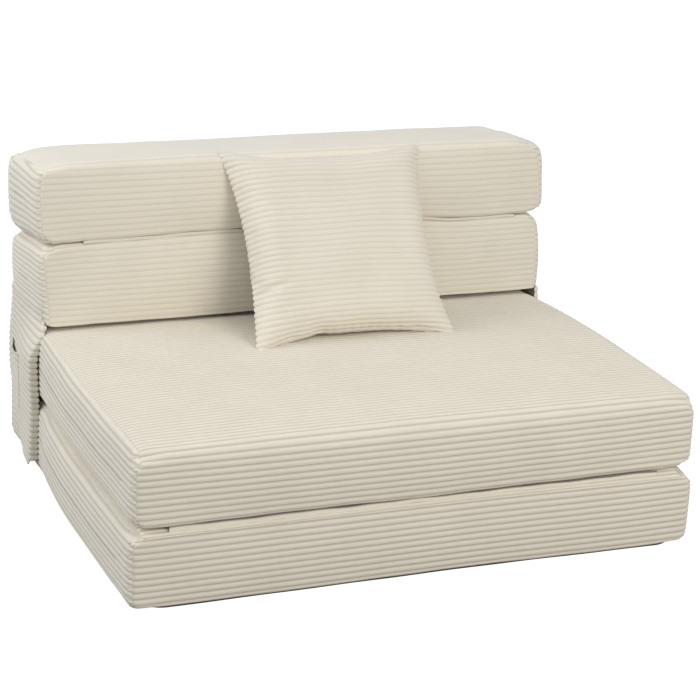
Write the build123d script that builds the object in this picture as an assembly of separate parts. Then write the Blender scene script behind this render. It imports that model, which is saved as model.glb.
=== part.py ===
from build123d import *

import os
from math import cos, radians, sin

os.makedirs("parts", exist_ok=True)

# Sizes in millimetres. X runs to the right seen from the front, Y to the rear and Z up.
# The origin is on the floor under the middle of the seat.

# The four foam blocks
seat_width = 1012.0
seat_depth = 810.0
seat_block_height = 132.0
lower_back_tuck = 12.0
lower_back_depth = 210.0
lower_back_height = 163.0
upper_back_tuck = 2.0
upper_back_depth = 206.0
upper_back_height = 142.0
back_offset_x = 5.0
side_bulge = 12.0
front_bulge = 8.0
seat_crown = 6.0
upper_back_crown = 7.0
edge_roll = 28.0
base_roll = 14.0
top_back_roll = 34.0
end_roll = 20.0
corner_roll = 14.0
end_crown_share = 1.7
spare_fullness = 2.0

# Cloth and the clearances between soft pieces
cover_cloth = 3.0
core_gap = 0.3
soft_gap = 0.3
base_cloth = 2.0
base_margin = 12.0

# Hinge lines, a little outside the faces that meet when the bed is laid out
hinge_reach = 1.0

# Fabric strips that join the blocks
seat_strip_inset = 63.0
back_strip_inset = 75.0
strip_front_depth = 9.0
strip_rear_depth = 19.0

# Zips on the rear of each cover
zip_inset = 120.0
zip_width = 14.0
zip_share = 0.5
slider_length = 22.0
slider_width = 9.0
slider_thickness = 2.4
pull_eye_radius = 1.6

# Side flaps that hang from the lower back block
flap_cloth = 4.0
flap_sewn_rise = 38.0
flap_bend_rise = 22.0
flap_set_out_drop = 16.0
flap_foot = 8.0
flap_side_gap = 2.0
flap_edge_inset = 3.0
flap_front_taper = 52.0
flap_rear_taper = 30.0
flap_heel = 30.0
flap_tip_roll = 16.0

# Pocket on the left flap
pocket_cloth = 2.0
pocket_front_inset = 50.0
pocket_rear_inset = 6.0
pocket_foot_rise = 76.0
pocket_mouth_drop = 46.0
pocket_sag = 7.0

# Scatter cushion
pillow_width = 386.0
pillow_height = 358.0
pillow_front_crown = 64.0
pillow_back_crown = 40.0
pillow_edge = 2.0
pillow_upright_share = 1.1
pillow_draw = 11.0
pillow_corner = 12.0
pillow_cloth = 2.5
pillow_hem = 18.0
pillow_lean = 32.5
pillow_centre_x = 50.0
pillow_back_sink = 9.0
pillow_seat_sink = 0.22
pillow_zip_length = 300.0
pillow_zip_width = 7.0
pillow_zip_inset = 13.0

# Working length, longer than the whole part, for slabs that trim it
trim = 3000.0

half_seat = seat_width / 2
front_y = -seat_depth / 2
rear_y = seat_depth / 2
seat_joint_z = seat_block_height
seat_top_z = 2 * seat_block_height
back_joint_z = seat_top_z + lower_back_height
back_top_z = back_joint_z + upper_back_height
lower_back_front = rear_y - lower_back_depth
upper_back_front = rear_y - upper_back_depth
lower_back_width = seat_width - lower_back_tuck
upper_back_width = seat_width - upper_back_tuck
seat_strip_length = seat_width - 2 * seat_strip_inset
back_strip_length = lower_back_width - 2 * back_strip_inset
zip_length = lower_back_width - 2 * zip_inset
pillow_set_forward = pillow_height / 2 * sin(radians(pillow_lean)) - pillow_back_sink
pillow_centre_y = lower_back_front - pillow_set_forward
pillow_rise = pillow_height / 2 * cos(radians(pillow_lean)) - pillow_seat_sink

# Places on the side flaps and their pocket
flap_top = seat_top_z + flap_sewn_rise
flap_bend = seat_top_z + flap_bend_rise
flap_set_out = seat_top_z - flap_set_out_drop
flap_front_top = lower_back_front + flap_edge_inset
flap_front_foot = flap_front_top + flap_front_taper
flap_rear_top = rear_y - flap_edge_inset
flap_rear_foot = flap_rear_top - flap_rear_taper
pocket_front = flap_front_foot + pocket_front_inset
pocket_rear = flap_rear_foot - pocket_rear_inset
pocket_foot = flap_foot + pocket_foot_rise
pocket_mouth = flap_set_out - pocket_mouth_drop


def bulged_face(low, high, bulges, rolls):
    """A four-sided face whose sides swell out by bulges: left, right, bottom and top.
    low and high are its reach with the bulges, rolls the radii of its lower and upper corners."""
    left, right, bottom, top = bulges
    u0, u1 = low[0] + left, high[0] - right
    v0, v1 = low[1] + bottom, high[1] - top
    mid_u, mid_v = (u0 + u1) / 2, (v0 + v1) / 2
    corners = [(u0, v0), (u1, v0), (u1, v1), (u0, v1)]
    swells = [(mid_u, low[1]), (high[0], mid_v), (mid_u, high[1]), (low[0], mid_v)]
    swollen = [bottom, right, top, left]
    edges = []
    for turn, (swell, amount) in enumerate(zip(swells, swollen)):
        start, end = corners[turn], corners[(turn + 1) % len(corners)]
        if amount > 0:
            edges.append(ThreePointArc(start, swell, end))
        else:
            edges.append(Line(start, end))
    face = make_face(edges)
    lower = [v for v in face.vertices() if v.Y < mid_v]
    face = fillet(lower, rolls[0])
    upper = [v for v in face.vertices() if v.Y > mid_v and near_corner(v, corners[2:])]
    return fillet(upper, rolls[1])


def near_corner(vertex, corners):
    """True if the vertex lies on one of the corners."""
    return any((Vector(vertex.X, vertex.Y) - Vector(*c)).length < core_gap for c in corners)


def plan_face(x0, x1, y0, y1, inset):
    """Plan of a block. It reaches a little past the side view, so that the two cross cleanly."""
    side, front = side_bulge + spare_fullness, front_bulge + spare_fullness
    return bulged_face((x0 - spare_fullness, y0 - spare_fullness),
                       (x1 + spare_fullness, y1 + spare_fullness), (side, side, front, 0),
                       (corner_roll - inset, corner_roll - inset))


def ends_face(x0, x1, z0, z1, crown, rolls):
    """Front view of a block, which rounds its two ends. It too reaches past the side view."""
    end_crown = crown * end_crown_share
    return bulged_face((x0, z0 - spare_fullness), (x1, z1 + spare_fullness + end_crown),
                       (side_bulge, side_bulge, 0, end_crown), rolls)


def block_form(width, centre_x, front, rear, foot, top, crown, rolls, inset, foot_inset):
    """A foam block: its side view, plan and front view, each pushed through the others.
    rolls holds the radii of the lower and upper edges, first in side view, then in front view."""
    x0, x1 = centre_x - width / 2 + inset, centre_x + width / 2 - inset
    y0, y1 = front + inset, rear - inset
    z0, z1 = foot + foot_inset, top - inset
    side = bulged_face((y0, z0), (y1, z1 + crown), (front_bulge, 0, 0, crown),
                       [roll - inset for roll in rolls[0]])
    plan = plan_face(x0, x1, y0, y1, inset)
    ends = ends_face(x0, x1, z0, z1, crown, [roll - inset for roll in rolls[1]])
    form = extrude(Plane.YZ * side, amount=trim, both=True)
    form &= extrude(Plane.XY * plan, amount=trim, both=True)
    return form & extrude(Plane.XZ * ends, amount=trim, both=True)


def seat_form(inset, foot_inset):
    """The upper seat block: crowned where it is sat on, flat where the back stands."""
    x0, x1 = -half_seat + inset, half_seat - inset
    y0, y1 = front_y + inset, rear_y - inset
    z0, z1 = seat_joint_z + foot_inset, seat_top_z - inset
    side = bulged_face((y0, z0), (y1, z1), (front_bulge, 0, 0, 0),
                       (edge_roll - inset, edge_roll - inset))
    crown_start = front_y + front_bulge + edge_roll
    crown_end = lower_back_front + front_bulge
    crest = ((crown_start + crown_end) / 2, z1 + seat_crown)
    cap = make_face([ThreePointArc((crown_start, z1), crest, (crown_end, z1)),
                     Line((crown_end, z1), (crown_end, z1 - seat_crown)),
                     Line((crown_end, z1 - seat_crown), (crown_start, z1 - seat_crown)),
                     Line((crown_start, z1 - seat_crown), (crown_start, z1))])
    plan = plan_face(x0, x1, y0, y1, inset)
    ends = ends_face(x0, x1, z0, z1, seat_crown, (end_roll - inset, end_roll - inset))
    form = extrude(Plane.YZ * (side + cap), amount=trim, both=True)
    form &= extrude(Plane.XY * plan, amount=trim, both=True)
    return form & extrude(Plane.XZ * ends, amount=trim, both=True)


def slab(low, high):
    """A box between two opposite corners."""
    size = [b - a for a, b in zip(low, high)]
    middle = [(a + b) / 2 for a, b in zip(low, high)]
    return Pos(*middle) * Box(*size)


def zip_slot(centre_x, centre_z):
    """The space in the rear wall of a cover that its zip fills."""
    half = zip_length / 2
    return slab((centre_x - half, rear_y - 2 * cover_cloth, centre_z - zip_width / 2),
                (centre_x + half, rear_y + cover_cloth, centre_z + zip_width / 2))


def slider_notch(end_x, centre_z):
    """The stretch of the zip that its slider takes the place of."""
    half = slider_width / 2 + core_gap
    return slab((end_x - slider_length, rear_y - 2 * cover_cloth, centre_z - half),
                (end_x, rear_y + cover_cloth, centre_z + half))


def zip_slider(end_x, centre_z):
    """The slider with the eye that its puller hangs in, sunk level with the cloth."""
    body = slab((end_x - slider_length, rear_y - slider_thickness, centre_z - slider_width / 2),
                (end_x, rear_y, centre_z + slider_width / 2))
    eye = Cylinder(pull_eye_radius, 2 * cover_cloth, rotation=(90, 0, 0))
    eye_x = end_x - slider_length + 2 * pull_eye_radius
    return body - Pos(eye_x, rear_y, centre_z) * eye


def save_block(name, outer, inner, core, width, centre_x, foot, top):
    """Writes one block: its foam core, its wrap, its two end panels, its zip and its slider."""
    seam = width / 2 - side_bulge
    shell = outer - inner
    band = slab((centre_x - seam, -trim, -trim), (centre_x + seam, trim, trim))
    left_end = slab((-trim, -trim, -trim), (centre_x - seam, trim, trim))
    right_end = slab((centre_x + seam, -trim, -trim), (trim, trim, trim))
    zip_z = foot + (top - foot) * zip_share
    slider_end = centre_x + zip_length / 2
    slot = zip_slot(centre_x, zip_z)
    notch = slider_notch(slider_end, zip_z)
    pieces = {
        "foam": core,
        "wrap": (shell & band) - slot,
        "left_end": shell & left_end,
        "right_end": shell & right_end,
        "zip": (shell & slot) - notch,
        "zip_slider": zip_slider(slider_end, zip_z),
    }
    for piece, shape in pieces.items():
        save(f"{name}_{piece}", shape)


def save(name, shape):
    """Writes one named piece as a STEP file."""
    shape.label = name
    export_step(shape, f"parts/{name}.step")


def save_plain_block(name, width, centre_x, front, foot, top, crown, rolls):
    """Writes a block that has the same form all over."""
    place = (width, centre_x, front, rear_y, foot, top, crown, rolls)
    outer = block_form(*place, 0, 0)
    inner = block_form(*place, cover_cloth, cover_cloth)
    core = block_form(*place, cover_cloth + core_gap, cover_cloth)
    save_block(name, outer, inner, core, width, centre_x, foot, top)


def roll_centre(front, height, bulge, facing):
    """How far to the rear the middle of a block's rolled edge lies, from the face it rounds."""
    half = height / 2
    if bulge == 0:
        return front + facing * edge_roll
    swell = (half**2 + bulge**2) / (2 * bulge)
    return front + facing * (swell - ((swell - edge_roll)**2 - (half - edge_roll)**2) ** 0.5)


def groove_half(y, centre_y):
    """Half the width of the groove over one rolled edge, less the gap to the cloth."""
    return edge_roll - ((edge_roll + soft_gap) ** 2 - (y - centre_y) ** 2) ** 0.5


def strip_face(lower_centre, upper_centre, joint_z, facing):
    """Section of a joining strip: a wedge that fills the groove between two rolled edges.
    facing is 1 where the groove opens to the front and -1 where it opens to the rear."""
    mouth = (lower_centre + upper_centre) / 2 - facing * edge_roll
    y_open = mouth + facing * strip_front_depth
    y_back = mouth + facing * strip_rear_depth
    y_mid = (y_open + y_back) / 2
    low = [(y, joint_z - groove_half(y, lower_centre)) for y in (y_open, y_mid, y_back)]
    high = [(y, joint_z + groove_half(y, upper_centre)) for y in (y_open, y_mid, y_back)]
    return make_face([ThreePointArc(*low), Line(low[-1], high[-1]),
                      ThreePointArc(*reversed(high)), Line(high[0], low[0])])


def joining_strip(length, centre_x, lower_centre, upper_centre, joint_z, facing):
    """A fabric strip sewn along the groove between two blocks."""
    section = strip_face(lower_centre, upper_centre, joint_z, facing)
    return Pos(centre_x, 0, 0) * extrude(Plane.YZ * section, amount=length / 2, both=True)


def base_sheet():
    """The dark non-slip sheet under the lower seat block."""
    return slab((-half_seat + base_margin, front_y + base_margin, 0),
                (half_seat - base_margin, rear_y - base_margin, base_cloth))


def flap_outline():
    """Side view of a flap: it narrows downward, with a cut heel and a rounded tip."""
    outline = make_face(Polyline(
        (flap_front_top, flap_top), (flap_rear_top, flap_top),
        (flap_rear_top, flap_set_out), (flap_rear_foot, flap_foot + flap_heel),
        (flap_front_foot + flap_heel, flap_foot), (flap_front_foot, flap_foot),
        (flap_front_top, flap_top), close=True))
    tip = [v for v in outline.vertices()
           if (Vector(v.X, v.Y) - Vector(flap_front_foot, flap_foot)).length < core_gap]
    return fillet(tip, flap_tip_roll)


def flap_section(attach_x, hang_x, outward):
    """End view of a flap: its margin on the back block, then its set-out and its drop."""
    return make_face(Polyline(
        (attach_x, flap_top), (attach_x, flap_bend), (hang_x, flap_set_out),
        (hang_x, flap_foot), (hang_x + outward * flap_cloth, flap_foot),
        (hang_x + outward * flap_cloth, flap_set_out),
        (attach_x + outward * flap_cloth, flap_bend),
        (attach_x + outward * flap_cloth, flap_top), (attach_x, flap_top), close=True))


def flap(attach_x, hang_x, outward):
    """A side flap: cloth that hangs from the back block outside the seat."""
    section = flap_section(attach_x, hang_x, outward)
    hung = extrude(Plane.XZ * section, amount=trim, both=True)
    return hung & extrude(Plane.YZ * flap_outline(), amount=trim, both=True)


def end_reach(width, height, z_from_foot):
    """How far a block's swollen end reaches from its middle at a height above its foot."""
    off_middle = (z_from_foot - height / 2) / (height / 2)
    return width / 2 - side_bulge * off_middle**2


def pocket_patch(face_x):
    """The pocket's outer cloth on the left flap, its mouth sagging a little."""
    middle = (pocket_front + pocket_rear) / 2
    outline = make_face([
        ThreePointArc((pocket_front, pocket_mouth), (middle, pocket_mouth - pocket_sag),
                      (pocket_rear, pocket_mouth)),
        Line((pocket_rear, pocket_mouth), (pocket_rear, pocket_foot)),
        Line((pocket_rear, pocket_foot), (pocket_front, pocket_foot)),
        Line((pocket_front, pocket_foot), (pocket_front, pocket_mouth)),
    ])
    patch = extrude(Plane.YZ * outline, amount=pocket_cloth)
    return Pos(face_x - pocket_cloth, 0, 0) * patch


def lens_face(half, front_crown, back_crown, edge):
    """Section of the scatter cushion: two arcs that close in to a thin edge."""
    return make_face([
        ThreePointArc((-half, edge), (0, front_crown), (half, edge)),
        Line((half, edge), (half, -edge)),
        ThreePointArc((half, -edge), (0, -back_crown), (-half, -edge)),
        Line((-half, -edge), (-half, edge)),
    ])


def pillow_outline(half_wide, half_high):
    """Front view of the scatter cushion, its sides drawn in between the corners."""
    corners = [(-half_wide, -half_high), (half_wide, -half_high),
               (half_wide, half_high), (-half_wide, half_high)]
    drawn = [(0, -half_high + pillow_draw), (half_wide - pillow_draw, 0),
             (0, half_high - pillow_draw), (-half_wide + pillow_draw, 0)]
    edges = [ThreePointArc(corners[turn], drawn[turn], corners[(turn + 1) % len(corners)])
             for turn in range(len(corners))]
    outline = make_face(edges)
    return fillet(outline.vertices(), pillow_corner)


def pillow_form(hem, cloth, edge):
    """The cushion lying flat: X across, Y up its face, Z towards the sitter."""
    half_wide, half_high = pillow_width / 2 - hem, pillow_height / 2 - hem
    crowns = (pillow_front_crown - cloth, pillow_back_crown - cloth)
    fuller = [crown * pillow_upright_share for crown in crowns]
    across = extrude(Plane.XZ * lens_face(half_wide, *crowns, edge), amount=trim, both=True)
    upward = extrude(Plane.YZ * lens_face(half_high, *fuller, edge), amount=trim, both=True)
    outline = extrude(pillow_outline(half_wide, half_high), amount=trim, both=True)
    return across & upward & outline


def save_pillow():
    """Writes the scatter cushion: its filling, its two faces and its zip, leaning on the back."""
    outer = pillow_form(0, 0, pillow_edge)
    inner = pillow_form(pillow_hem, pillow_cloth, pillow_edge / 2)
    filling = pillow_form(pillow_hem + core_gap, pillow_cloth + core_gap, pillow_edge / 2)
    shell = outer - inner
    zip_low = -pillow_height / 2 + pillow_zip_inset
    half_zip = pillow_zip_length / 2
    slot = slab((-half_zip, zip_low, -trim), (half_zip, zip_low + pillow_zip_width, 0))
    front_half = slab((-trim, -trim, 0), (trim, trim, trim))
    back_half = slab((-trim, -trim, -trim), (trim, trim, 0))
    pieces = {
        "pillow_filling": filling,
        "pillow_front": shell & front_half,
        "pillow_back": (shell & back_half) - slot,
        "pillow_zip": shell & slot,
    }
    middle_z = seat_top_z + seat_crown + pillow_rise
    place = Pos(pillow_centre_x, pillow_centre_y, middle_z)
    for name, shape in pieces.items():
        save(name, place * Rot(90 - pillow_lean, 0, 0) * shape)


save_plain_block("lower_seat", seat_width, 0, front_y, base_cloth, seat_joint_z, 0,
                 ((base_roll, edge_roll), (base_roll, end_roll)))
save_block("upper_seat", seat_form(0, 0), seat_form(cover_cloth, cover_cloth),
           seat_form(cover_cloth + core_gap, cover_cloth), seat_width, 0, seat_joint_z,
           seat_top_z)
save_plain_block("lower_back", lower_back_width, back_offset_x, lower_back_front, seat_top_z,
                 back_joint_z, 0, ((edge_roll, edge_roll), (end_roll, end_roll)))
save_plain_block("upper_back", upper_back_width, back_offset_x, upper_back_front, back_joint_z,
                 back_top_z, upper_back_crown,
                 ((edge_roll, top_back_roll), (end_roll, top_back_roll)))

save("base_sheet", base_sheet())
lower_seat_roll = roll_centre(front_y, seat_joint_z - base_cloth, front_bulge, 1)
upper_seat_roll = roll_centre(front_y, seat_block_height, front_bulge, 1)
lower_back_roll = roll_centre(lower_back_front, lower_back_height, front_bulge, 1)
upper_back_roll = roll_centre(upper_back_front, upper_back_height, front_bulge, 1)
rear_roll = roll_centre(rear_y, seat_block_height, 0, -1)
save("seat_strip", joining_strip(seat_strip_length, 0, lower_seat_roll, upper_seat_roll,
                                 seat_joint_z, 1))
save("rear_strip", joining_strip(seat_strip_length, 0, rear_roll, rear_roll, seat_top_z, -1))
save("back_strip", joining_strip(back_strip_length, back_offset_x, lower_back_roll,
                                 upper_back_roll, back_joint_z, 1))

left_attach = back_offset_x - end_reach(lower_back_width, lower_back_height,
                                        flap_top - seat_top_z) - soft_gap
right_attach = back_offset_x + end_reach(lower_back_width, lower_back_height,
                                         flap_top - seat_top_z) + soft_gap
left_hang = -half_seat - flap_side_gap
right_hang = max(half_seat + flap_side_gap, right_attach)
save("left_flap", flap(left_attach, left_hang, -1))
save("right_flap", flap(right_attach, right_hang, 1))
save("flap_pocket", pocket_patch(left_hang - flap_cloth))
save_pillow()

print("seat fold axis", front_y - hinge_reach, seat_joint_z + seat_crown / 2)
print("back fold axis", rear_y + hinge_reach, seat_top_z + seat_crown / 2)
print("back top axis", lower_back_front - hinge_reach, back_joint_z)
print("left flap axis", left_attach - flap_cloth - soft_gap, flap_top + soft_gap)
print("right flap axis", right_attach + flap_cloth + soft_gap, flap_top + soft_gap)
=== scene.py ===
import math

import bpy
import numpy as np
from mathutils import Matrix, Vector


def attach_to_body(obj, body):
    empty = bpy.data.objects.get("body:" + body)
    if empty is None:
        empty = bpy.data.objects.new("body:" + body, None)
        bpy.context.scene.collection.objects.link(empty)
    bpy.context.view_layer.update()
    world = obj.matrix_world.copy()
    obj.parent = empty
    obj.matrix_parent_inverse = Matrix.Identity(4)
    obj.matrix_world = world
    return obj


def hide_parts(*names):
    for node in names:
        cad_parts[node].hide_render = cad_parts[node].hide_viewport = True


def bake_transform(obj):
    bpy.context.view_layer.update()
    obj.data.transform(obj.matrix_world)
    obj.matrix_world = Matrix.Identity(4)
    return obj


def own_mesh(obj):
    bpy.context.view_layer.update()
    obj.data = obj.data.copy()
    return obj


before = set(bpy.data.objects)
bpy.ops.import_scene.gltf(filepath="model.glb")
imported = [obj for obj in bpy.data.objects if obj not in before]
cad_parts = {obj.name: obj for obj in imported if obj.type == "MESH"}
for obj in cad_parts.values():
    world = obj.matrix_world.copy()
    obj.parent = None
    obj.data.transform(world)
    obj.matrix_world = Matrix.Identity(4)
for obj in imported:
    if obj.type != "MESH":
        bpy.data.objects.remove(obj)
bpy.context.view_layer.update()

# Base sheet.
# Dark non-slip cloth under the lower seat block, dotted with rubber beads. It is sewn into the
# bottom seam of the lower cover, and shows as a dark line along the floor.


class Sock:
    """A shader value that can be added, multiplied and so on like a number."""

    def __init__(self, finish, link):
        self.finish, self.link = finish, link

    def work(self, operation, *others):
        return self.finish.node("Math", {"operation": operation}, dict(enumerate(others)))

    def of(self, out):
        """Another output of the same node."""
        return Sock(self.finish, self.link.node.outputs[out])

    def __add__(self, other):
        return self.work("ADD", self, other)

    def __sub__(self, other):
        return self.work("SUBTRACT", self, other)

    def __rsub__(self, other):
        return self.work("SUBTRACT", other, self)

    def __mul__(self, other):
        return self.work("MULTIPLY", self, other)

    __radd__, __rmul__ = __add__, __mul__

    def __abs__(self):
        return self.work("ABSOLUTE", self)

    def fraction(self):
        return self.work("FRACT", self)

    def between(self, low, high):
        """0 below low, 1 above high, and a smooth step between."""
        return self.finish.node("MapRange", {"interpolation_type": "SMOOTHSTEP"},
                                {0: self, 1: low, 2: high, 3: 0, 4: 1})


class Finish:
    """A material whose shader is written as expressions."""

    def __init__(self, name, owner=None):
        self.material = owner or bpy.data.materials.new(name)
        self.material.use_nodes = True
        self.tree = self.material.node_tree
        self.tree.nodes.clear()

    def node(self, kind, settings=(), sockets=(), out=0):
        made = self.tree.nodes.new("ShaderNode" + kind)
        for key, value in dict(settings).items():
            setattr(made, key, value)
        for key, value in dict(sockets).items():
            if isinstance(value, Sock):
                self.tree.links.new(value.link, made.inputs[key])
            else:
                made.inputs[key].default_value = value
        return Sock(self, made.outputs[out]) if made.outputs else None

    def mix(self, share, first, second):
        """first where share is 0 and second where it is 1; both are colours."""
        return self.node("Mix", {"data_type": "RGBA"}, {0: share, 6: first, 7: second}, out=2)

    def noise(self, place, size, detail=2, stretch=(1, 1, 1)):
        """Soft noise around 0.5 with spots about size metres across."""
        scaled = self.node("VectorMath", {"operation": "MULTIPLY"}, {0: place, 1: stretch})
        return self.node("TexNoise", (), {"Vector": scaled, "Scale": 1 / size, "Detail": detail})

    def shade(self, **sockets):
        """Ends the material with a Principled shader."""
        named = {key.replace("_", " "): value for key, value in sockets.items()}
        surface = self.node("BsdfPrincipled", (), named)
        self.node("OutputMaterial", (), {"Surface": surface})
        return self.material


def grid(first, second):
    return np.meshgrid(first, second, indexing="ij")


def sheet_of_points(name, points, coords, material, around=False):
    """A mesh on a grid of points, with coords as its cloth coordinates. around closes each row."""
    rows, columns = points.shape[:2]
    across = columns if around else columns - 1
    row, column = grid(np.arange(rows - 1), np.arange(across))
    beside = (column + 1) % columns
    quads = np.stack([row * columns + column, row * columns + beside,
                      (row + 1) * columns + beside, (row + 1) * columns + column], -1)
    mesh = bpy.data.meshes.new(name)
    mesh.from_pydata(points.reshape(-1, 3).tolist(), [], quads.reshape(-1, 4).tolist())
    wide = coords.shape[1]
    corners = np.stack([row * wide + column, row * wide + column + 1,
                        (row + 1) * wide + column + 1, (row + 1) * wide + column], -1)
    layer = mesh.uv_layers.new(name="wale")
    layer.data.foreach_set("uv", coords.reshape(-1, 2)[corners.ravel()].astype(np.float32).ravel())
    mesh.shade_smooth()
    made = bpy.data.objects.new(name, mesh)
    bpy.context.scene.collection.objects.link(made)
    mesh.materials.append(material)
    return made


def outward(points, around=False):
    """Unit directions square to a grid of points."""
    along = np.gradient(points, axis=0)
    if around:
        across = np.roll(points, -1, 1) - np.roll(points, 1, 1)
    else:
        across = np.gradient(points, axis=1)
    square = np.cross(along, across)
    return square / np.maximum(np.linalg.norm(square, axis=-1, keepdims=True), 1e-12)


def non_slip_cloth():
    cloth = Finish("non_slip_cloth")
    place = cloth.node("TexCoord", (), (), out=3)
    beads = cloth.node("TexVoronoi", {"feature": "F1"},
                       {"Vector": place, "Scale": 120, "Randomness": 0.0})
    bead = 1 - beads.between(0.18, 0.3)
    colour = cloth.mix(bead, (0.045, 0.042, 0.040, 1), (0.018, 0.017, 0.016, 1))
    weave = cloth.noise(place, 0.0008)
    raised = cloth.node("Bump", (), {"Strength": 0.5, "Distance": 0.001,
                                     "Height": bead + weave * 0.3})
    return cloth.shade(Base_Color=colour, Roughness=0.85 - bead * 0.3, Normal=raised)


def thicken(made, thickness):
    """Gives a sheet its thickness, half to each side, with closed edges."""
    made.modifiers.new("thickness", "SOLIDIFY").thickness = thickness
    made.modifiers["thickness"].offset = 0
    bpy.context.view_layer.update()
    seen_form = made.evaluated_get(bpy.context.evaluated_depsgraph_get())
    thick = bpy.data.meshes.new_from_object(seen_form)
    made.modifiers.clear()
    made.data = thick
    return made


def smooth(t):
    t = np.clip(t, 0, 1)
    return t * t * (3 - 2 * t)


def askew(x, y):
    """How far the lower seat block's front stands forward toward its right end."""
    most, start, reach, depth = 0.010, 0.05, 0.45, 0.3
    return most * smooth((x - start) / reach) * smooth(-y / depth)


base_half, base_deep, base_corner, base_thickness = 0.478, 0.3990, 0.035, 0.0016
base_to_left, base_to_front, base_height, base_ripple = 0.001, 0.0140, 0.0013, 0.0004
bx, by = grid(np.linspace(-base_half, base_half, 120), np.linspace(-base_deep, base_deep, 100))
past_x = np.clip(np.abs(bx) - base_half + base_corner, 0, None)
past_y = np.clip(np.abs(by) - base_deep + base_corner, 0, None)
pull = np.maximum(past_x, past_y) / np.maximum(np.hypot(past_x, past_y), 1e-9)
bx = np.sign(bx) * (np.minimum(np.abs(bx), base_half - base_corner) + past_x * pull)
by = np.sign(by) * (np.minimum(np.abs(by), base_deep - base_corner) + past_y * pull)
base_points = np.stack([bx - base_to_left, by - base_to_front - askew(bx, by),
                        base_height + base_ripple * np.sin(bx * 37) * np.sin(by * 41)], -1)
base_sheet = sheet_of_points("base_sheet_cloth", base_points, base_points[..., :2], non_slip_cloth())
thicken(base_sheet, base_thickness)
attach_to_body(base_sheet, "lower_seat")
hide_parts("base_sheet")

# Block covers.
# Each foam block has a cover of cream wide-wale corduroy. One panel wraps round its front, top, rear
# and bottom, its wales running across the seat, and closes with a zip along the rear.

wale, wale_height, rib_power = 0.0111, 0.0021, 2.1
steps_per_wale = 8
cream = (0.79, 0.745, 0.655, 1)
groove_shade = (0.53, 0.485, 0.40, 1)


def corduroy(name, light=cream, dark=groove_shade, groove_shade_strength=0.75):
    """Wide-wale corduroy: pale brushed ribs, with painted shade darkening the grooves between them."""
    cloth = Finish(name)
    coords = cloth.node("UVMap", {"uv_map": "wale"})
    split = cloth.node("SeparateXYZ", (), {0: coords})
    # Painted shade: a mask that is 1 along the grooves between the ribs, where their shade falls.
    turn = abs(split.of(1).fraction() * 2 - 1)
    groove = turn.between(0.42, 1.0)
    place = cloth.node("TexCoord", (), (), out=3)
    patches = cloth.noise(place, 0.09, 3)
    streaks = cloth.noise(coords, 0.02, 4, (1, 0.03, 1))
    nap = cloth.noise(place, 0.0012, 3)
    tone = (patches - 0.5) * 0.55 + (streaks - 0.5) * 0.30 + (nap - 0.5) * 0.22
    brushed = cloth.mix(0.5 + tone, [c * 0.90 for c in light[:3]] + [1],
                        [min(c * 1.08, 1) for c in light[:3]] + [1])
    # Painted shade: the grooves are mixed toward the dark colour, as much as the given strength.
    colour = cloth.mix(groove * groove_shade_strength, brushed, dark)
    pile = cloth.noise(place, 0.0016, 4)
    raised = cloth.node("Bump", (), {"Strength": 0.35, "Distance": 0.0012,
                                     "Height": pile * 0.6 + streaks * 0.25})
    return cloth.shade(Base_Color=colour, Roughness=0.92 + (nap - 0.5) * 0.1, Normal=raised,
                       Sheen_Weight=0.25, Sheen_Roughness=0.5)


def rib(count):
    """Height of the pile, 0 to 1, at a count of wales: broad rounded ribs with narrow grooves."""
    return 1 - np.abs(2 * (count % 1) - 1) ** rib_power


def drift(points, size, seed):
    """A slow wander of about -1 to 1 over points, for cloth that isn't quite even."""
    waves, height = 7, 4
    made = np.random.default_rng(seed)
    total = np.zeros(points.shape[:-1])
    for _ in range(waves):
        way = made.normal(size=3)
        way *= 2 * math.pi / (size * made.uniform(0.7, 1.8) * np.linalg.norm(way))
        total += np.sin(points @ way + made.uniform(0, 2 * math.pi))
    return total / height


def finer(points, axis, places):
    """Points at fractional places along an axis of a grid, on a smooth curve through its points."""
    points = np.moveaxis(points, axis, 0)
    start = np.clip(np.floor(places).astype(int), 0, len(points) - 2)
    t = (places - start).reshape((-1,) + (1,) * (points.ndim - 1))
    p0, p1, p2, p3 = (points[np.clip(start + k, 0, len(points) - 1)] for k in (-1, 0, 1, 2))
    curve = p1 + 0.5 * t * (p2 - p0 + t * (2 * p0 - 5 * p1 + 4 * p2 - p3
                                           + t * (3 * (p1 - p2) + p3 - p0)))
    return np.moveaxis(curve, 0, axis)


def side_view(front, rear, foot, top, rolls, count):
    """Side view of a block from its lower rear edge round the front and top and down the rear.
    Gives count evenly spaced points and the way that each one faces."""
    steps_per_roll = 25
    spots, facing = [], []
    centres = [(front + rolls[0], foot + rolls[0], 270, rolls[0]),
               (front + rolls[1], top - rolls[1], 180, rolls[1]),
               (rear - rolls[2], top - rolls[2], 90, rolls[2]),
               (rear - rolls[3], foot + rolls[3], 0, rolls[3])]
    for y, z, start, roll in centres:
        for angle in np.radians(np.linspace(start, start - 90, steps_per_roll)):
            facing.append((math.cos(angle), math.sin(angle)))
            spots.append((y + roll * facing[-1][0], z + roll * facing[-1][1]))
    spots, facing = np.array(spots + spots[:1]), np.array(facing + facing[:1])
    walked = np.concatenate([[0], np.cumsum(np.linalg.norm(np.diff(spots, axis=0), axis=1))])
    at = np.linspace(0, walked[-1], count, endpoint=False)
    even = [np.interp(at, walked, column) for column in [*spots.T, *facing.T]]
    return np.stack(even[:2], -1), np.stack(even[2:], -1), walked[-1]


seam_inset = 0.012


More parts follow.
